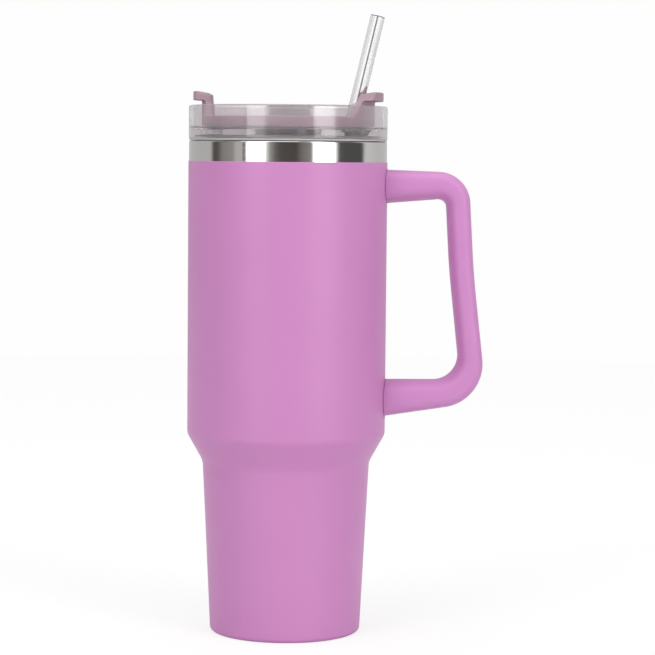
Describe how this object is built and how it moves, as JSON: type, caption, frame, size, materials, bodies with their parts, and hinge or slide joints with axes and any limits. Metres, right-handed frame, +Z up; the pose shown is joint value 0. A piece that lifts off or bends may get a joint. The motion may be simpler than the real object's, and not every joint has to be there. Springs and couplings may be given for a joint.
{
  "type": "insulated tumbler with lid",
  "caption": "Vacuum-insulated steel tumbler with a side handle, a clear press-in lid, a rotating sip cover with finger wings and a straight straw.",
  "frame": {"origin": "the cup's axis at the plane it stands on, in the middle of its foot ring", "axes": "+Z up along the cup's axis, +X towards the handle and the straw, +Y away from the viewer when the handle is on the right"},
  "size_m": [0.1452, 0.0974, 0.3038],
  "materials": {
    "shell_coating": "satin powder coat, orchid pink",
    "handle_coating": "satin, matched to the shell",
    "bare_steel": "bright polished stainless steel",
    "screw_steel": "plain stainless steel",
    "getter_metal": "sintered metal",
    "seal_solder": "fused sealing bead",
    "clear_plastic": "clear moulded plastic",
    "tinted_plastic": "mauve translucent moulded plastic",
    "silicone": "translucent white silicone",
    "straw_plastic": "clear extruded plastic"
  },
  "bodies": {
    "cup": {"outer_shell": "shell_coating", "mouth_collar": "bare_steel", "inner_liner": "bare_steel", "vacuum_bottom": "bare_steel", "getter": "getter_metal", "vacuum_seal": "seal_solder", "base_cap": "bare_steel", "upper_bracket": "bare_steel", "lower_bracket": "bare_steel", "handle_front_half": "handle_coating", "handle_rear_half": "handle_coating", "handle_screws": "screw_steel", "screw_plugs": "handle_coating"},
    "lid": {"lid_body": "clear_plastic", "lid_gasket": "silicone", "straw_grommet": "silicone"},
    "cover": {"rotating_cover": "tinted_plastic", "cover_seal": "silicone", "hub_o_ring": "silicone"},
    "straw": {"straw": "straw_plastic"}
  },
  "joints": [
    {"name": "lid_lift", "type": "slide", "parent": "cup", "child": "lid", "axis": [0, 0, 1], "range_m": [0, 0.26]},
    {"name": "cover_turn", "type": "hinge", "parent": "lid", "child": "cover", "pos_m": [0, 0, 0.2482], "axis": [0, 0, 1], "range_deg": [0, 60]},
    {"name": "straw_slide", "type": "slide", "parent": "lid", "child": "straw", "axis": [0.2275, 0, 0.9738], "range_m": [0, 0.26]}
  ]
}
